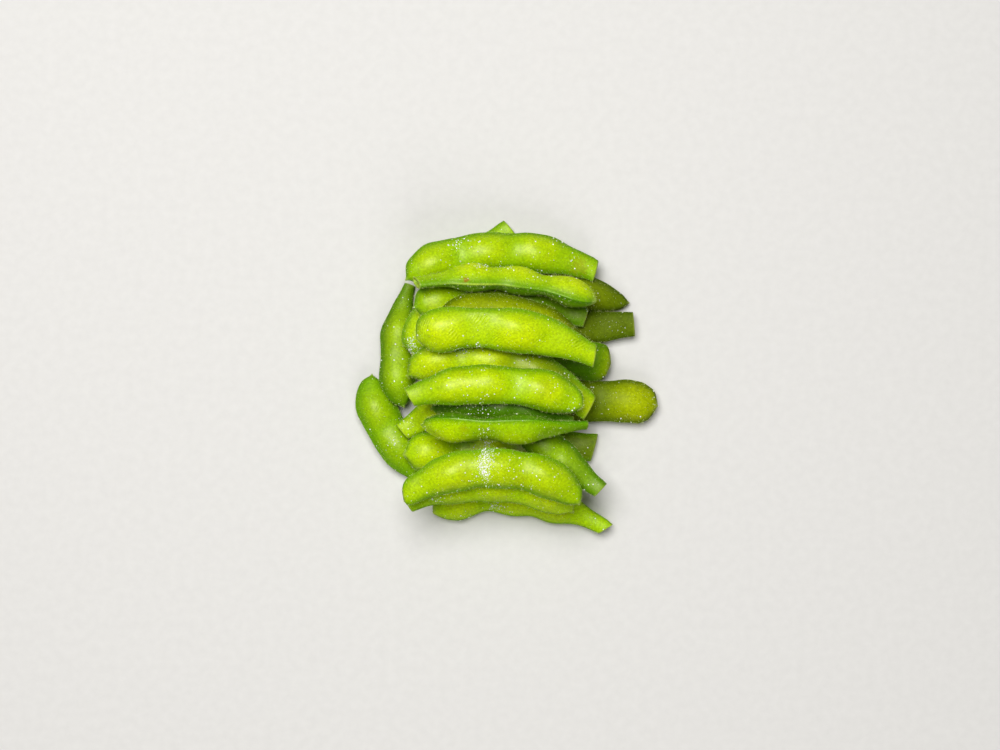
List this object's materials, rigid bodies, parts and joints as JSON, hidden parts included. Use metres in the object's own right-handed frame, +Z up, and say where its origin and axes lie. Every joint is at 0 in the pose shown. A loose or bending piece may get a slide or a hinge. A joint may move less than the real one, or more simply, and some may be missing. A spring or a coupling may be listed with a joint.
{
  "type": "edamame pod bundle",
  "caption": "Heap of boiled green soybean pods lying one on another, mostly side by side, with cut stem ends, swollen beans and small pointed tips.",
  "frame": {"origin": "on the surface that the heap rests on, under the middle of its box", "axes": "+Z up from the surface; most pods lie along X, and +Y points to the back of the heap, away from the strongly bowed pod"},
  "size_m": [0.1042, 0.107, 0.0351],
  "materials": {
    "skin_bright": "semi-gloss, moist yellow-green pod skin",
    "skin_deep": "semi-gloss, moist deeper green pod skin",
    "skin_olive": "satin, olive green pod skin"
  },
  "bodies": {
    "root": {"pod_right_1": "skin_olive", "pod_right_2": "skin_olive", "pod_right_3": "skin_deep", "pod_right_4": "skin_olive", "pod_left_1": "skin_bright", "pod_left_2": "skin_deep", "pod_left_3": "skin_bright", "pod_mid_1": "skin_bright", "pod_front_1": "skin_bright", "pod_under": "skin_deep", "pod_mid_2": "skin_bright", "pod_mid_3": "skin_deep", "pod_mid_4": "skin_bright", "pod_top_1": "skin_bright", "pod_top_2": "skin_bright", "pod_top_3": "skin_olive", "pod_top_4": "skin_bright", "pod_top_5": "skin_bright", "pod_top_6": "skin_deep", "pod_top_7": "skin_bright", "pod_top_8": "skin_bright", "pod_front_2": "skin_bright", "pod_front_3": "skin_bright"}
  },
  "joints": []
}
